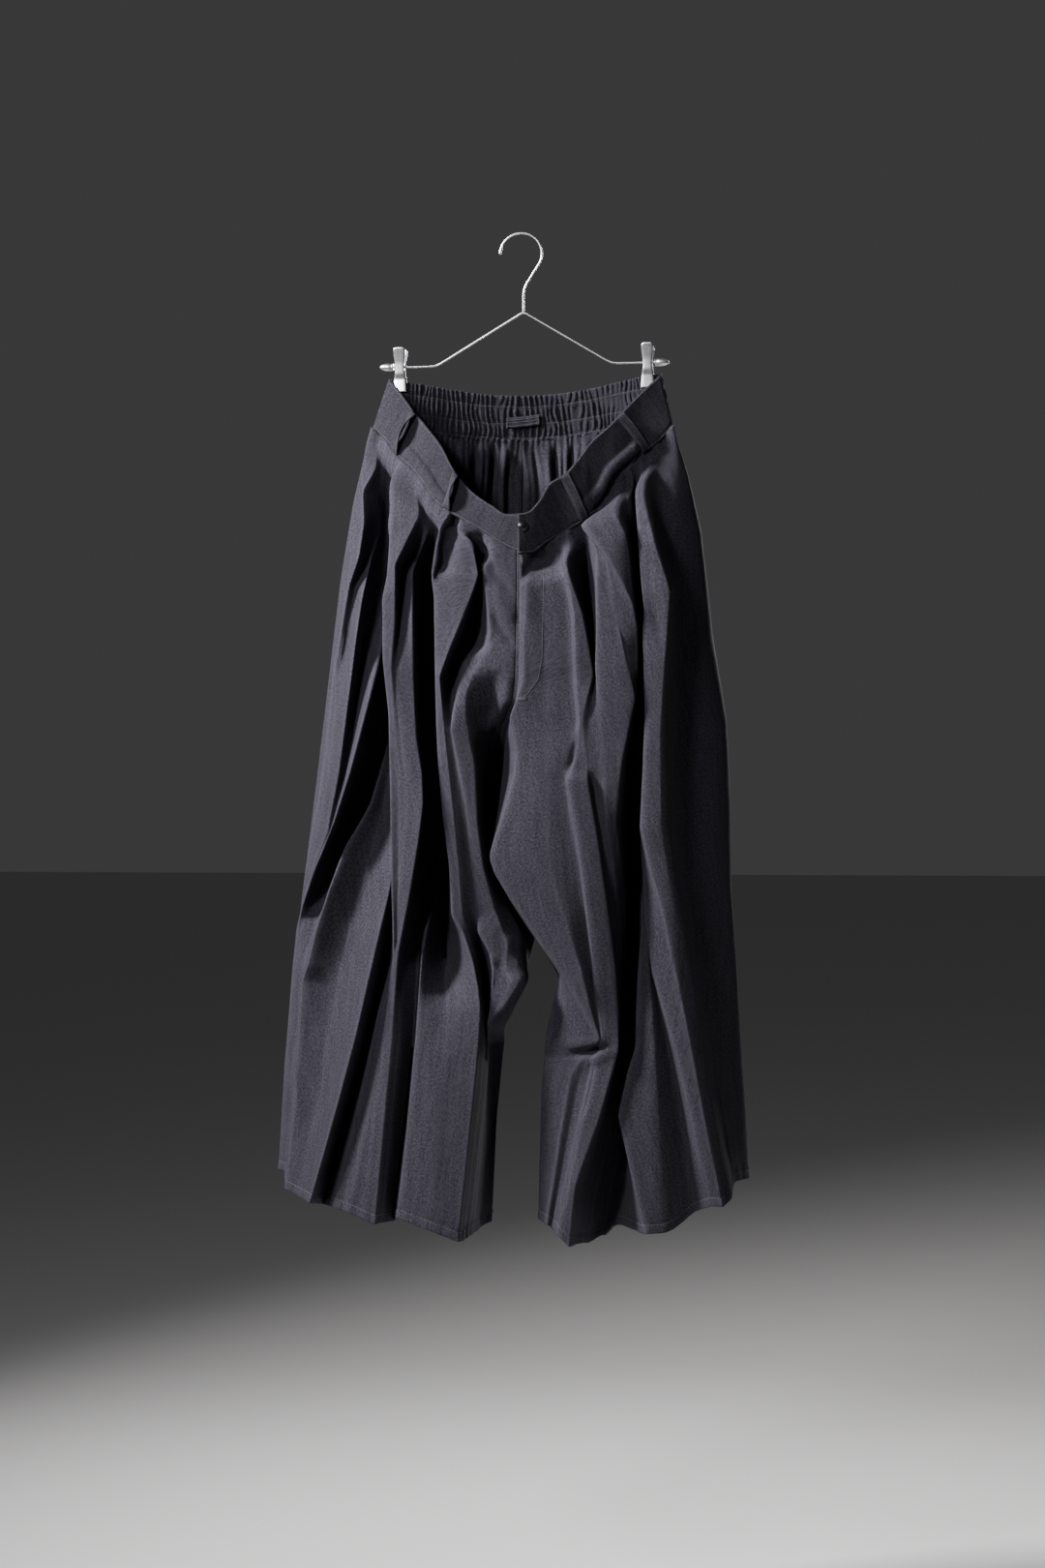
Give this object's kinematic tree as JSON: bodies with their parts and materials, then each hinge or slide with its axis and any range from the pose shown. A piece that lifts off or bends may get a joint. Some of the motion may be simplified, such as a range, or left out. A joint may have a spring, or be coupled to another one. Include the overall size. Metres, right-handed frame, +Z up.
{
  "type": "hakama trousers on a clip hanger",
  "caption": "Wide pleated hakama trousers with a lapped front waistband and a gathered elastic back, hanging by the waist from a wire clip hanger.",
  "frame": {"origin": "seat of the hanger's hook, where it rests on a rail", "axes": "+X along the hanger's bar, +Y from the trousers' front to their back, +Z up; the cloth hangs towards -Z"},
  "size_m": [0.5393, 0.2303, 1.1456],
  "materials": {
    "cloth": "matt, brushed twill",
    "band_cloth": "matt, brushed twill",
    "steel": "polished",
    "gunmetal": "dark, satin"
  },
  "bodies": {
    "root": {"front_left": "cloth", "front_right": "cloth", "back_left": "cloth", "back_right": "cloth", "waistband_left": "band_cloth", "waistband_right": "band_cloth", "waistband_back": "band_cloth", "belt_loop_1_left": "band_cloth", "belt_loop_2_left": "band_cloth", "belt_loop_3_right": "band_cloth", "belt_loop_4_right": "band_cloth", "tape_loop": "band_cloth", "snap_button": "gunmetal", "hanger_hook": "steel", "hanger_arms": "steel", "cap_left": "steel", "cap_right": "steel", "clip_left_front": "steel", "clip_left_back": "steel", "clip_left_barrel": "steel", "clip_right_front": "steel", "clip_right_back": "steel", "clip_right_barrel": "steel"}
  },
  "joints": []
}
